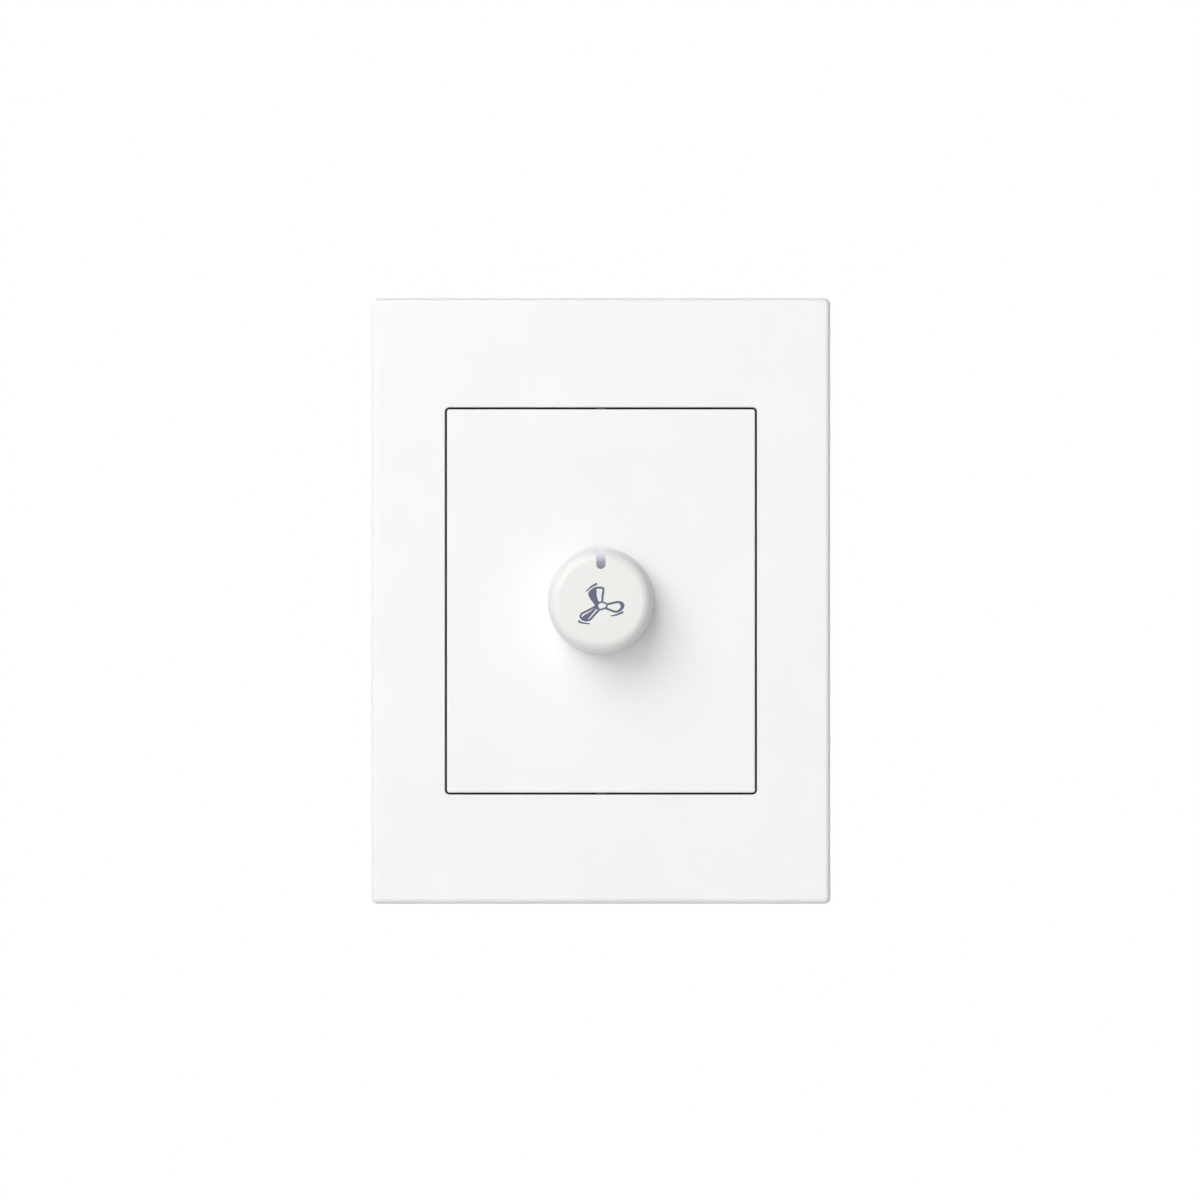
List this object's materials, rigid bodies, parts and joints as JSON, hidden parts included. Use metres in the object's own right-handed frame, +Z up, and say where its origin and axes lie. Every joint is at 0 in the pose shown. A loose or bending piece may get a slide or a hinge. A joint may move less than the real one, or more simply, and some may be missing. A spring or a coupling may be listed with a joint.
{
  "type": "fan speed control switch",
  "caption": "Rectangular wall plate with a flush centre panel and a round rotary fan speed knob, on a yoke with a rear housing and screw terminals.",
  "frame": {"origin": "where the knob's axis meets the wall plane, midway between the two box screws", "axes": "+Z up, the front and its knob face -Y, +Y goes into the wall box, +X to the right"},
  "size_m": [0.091, 0.0515, 0.12],
  "materials": {
    "white_plastic": "smooth satin white",
    "knob_plastic": "smooth satin warm white",
    "dark_plastic": "fine matt black",
    "housing_plastic": "fine matt light grey",
    "terminal_plastic": "matt grey",
    "pot_plastic": "matt black moulding",
    "yoke_steel": "zinc plated sheet",
    "screw_steel": "bright zinc plating",
    "brass": "nickel free brass",
    "spring_steel": "blank spring steel",
    "shaft_metal": "turned",
    "board": "green solder mask",
    "ferrite": "dark sintered",
    "enamelled_wire": "copper under clear enamel",
    "component_black": "moulded epoxy",
    "capacitor_box": "yellow box",
    "resistor_body": "beige lacquer",
    "insulator": "thin grey pad",
    "wafer": "brown laminate",
    "clear_glass": "clear tube"
  },
  "bodies": {
    "device": {"cover_frame": "white_plastic", "centre_panel": "white_plastic", "panel_nut": "housing_plastic", "pot_bushing": "brass", "pot_lock_washer": "screw_steel", "pot_nut": "screw_steel", "pot_case": "pot_plastic", "resistive_wafer": "wafer", "pot_pins": "screw_steel", "off_switch": "pot_plastic", "switch_pins": "screw_steel", "carrier_frame": "dark_plastic", "carrier_screws": "screw_steel", "mounting_yoke": "yoke_steel", "box_screws": "screw_steel", "earth_screw": "brass", "earth_washer": "brass", "rear_housing": "housing_plastic", "housing_screws": "screw_steel", "circuit_board": "board", "triac": "component_black", "triac_pad": "insulator", "triac_rivet": "shaft_metal", "choke_core": "ferrite", "choke_winding": "enamelled_wire", "large_capacitor": "capacitor_box", "small_capacitor": "capacitor_box", "resistors": "resistor_body", "diac": "clear_glass", "fuse_tube": "clear_glass", "fuse_caps": "screw_steel", "fuse_clips": "brass", "trimmer_base": "component_black", "terminal_block": "terminal_plastic", "terminal_bars": "brass"},
    "knob": {"knob_cap": "knob_plastic", "knob_spring_clip": "spring_steel", "shaft": "shaft_metal", "shaft_ring": "spring_steel", "wiper_rotor": "housing_plastic", "wiper_contact": "brass"},
    "trimmer": {"trimmer_spindle": "housing_plastic"},
    "clamp_left": {"terminal_clamp_left": "brass"},
    "screw_left": {"terminal_screw_left": "screw_steel"},
    "clamp_middle": {"terminal_clamp_middle": "brass"},
    "screw_middle": {"terminal_screw_middle": "screw_steel"},
    "clamp_right": {"terminal_clamp_right": "brass"},
    "screw_right": {"terminal_screw_right": "screw_steel"}
  },
  "joints": [
    {"name": "knob_turn", "type": "hinge", "parent": "device", "child": "knob", "pos_m": [0, 0, 0], "axis": [0, 1, 0], "range_deg": [-135, 135]},
    {"name": "trimmer_turn", "type": "hinge", "parent": "device", "child": "trimmer", "pos_m": [0.014, 0, -0.0065], "axis": [0, 1, 0], "range_deg": [-105, 105]},
    {"name": "screw_left_turn", "type": "hinge", "parent": "device", "child": "screw_left", "pos_m": [-0.011, 0.02575, 0], "axis": [0, 0, 1], "range_deg": [0, 1800]},
    {"name": "clamp_left_slide", "type": "slide", "parent": "device", "child": "clamp_left", "axis": [0, 0, -1], "range_m": [0, 0.003]},
    {"name": "screw_middle_turn", "type": "hinge", "parent": "device", "child": "screw_middle", "pos_m": [0, 0.02575, 0], "axis": [0, 0, 1], "range_deg": [0, 1800]},
    {"name": "clamp_middle_slide", "type": "slide", "parent": "device", "child": "clamp_middle", "axis": [0, 0, -1], "range_m": [0, 0.003]},
    {"name": "screw_right_turn", "type": "hinge", "parent": "device", "child": "screw_right", "pos_m": [0.011, 0.02575, 0], "axis": [0, 0, 1], "range_deg": [0, 1800]},
    {"name": "clamp_right_slide", "type": "slide", "parent": "device", "child": "clamp_right", "axis": [0, 0, -1], "range_m": [0, 0.003]}
  ],
  "couplings": [
    {"joint": "screw_left_turn", "follows": "clamp_left_slide", "rad_per_m": 10472},
    {"joint": "screw_middle_turn", "follows": "clamp_middle_slide", "rad_per_m": 10472},
    {"joint": "screw_right_turn", "follows": "clamp_right_slide", "rad_per_m": 10472}
  ]
}
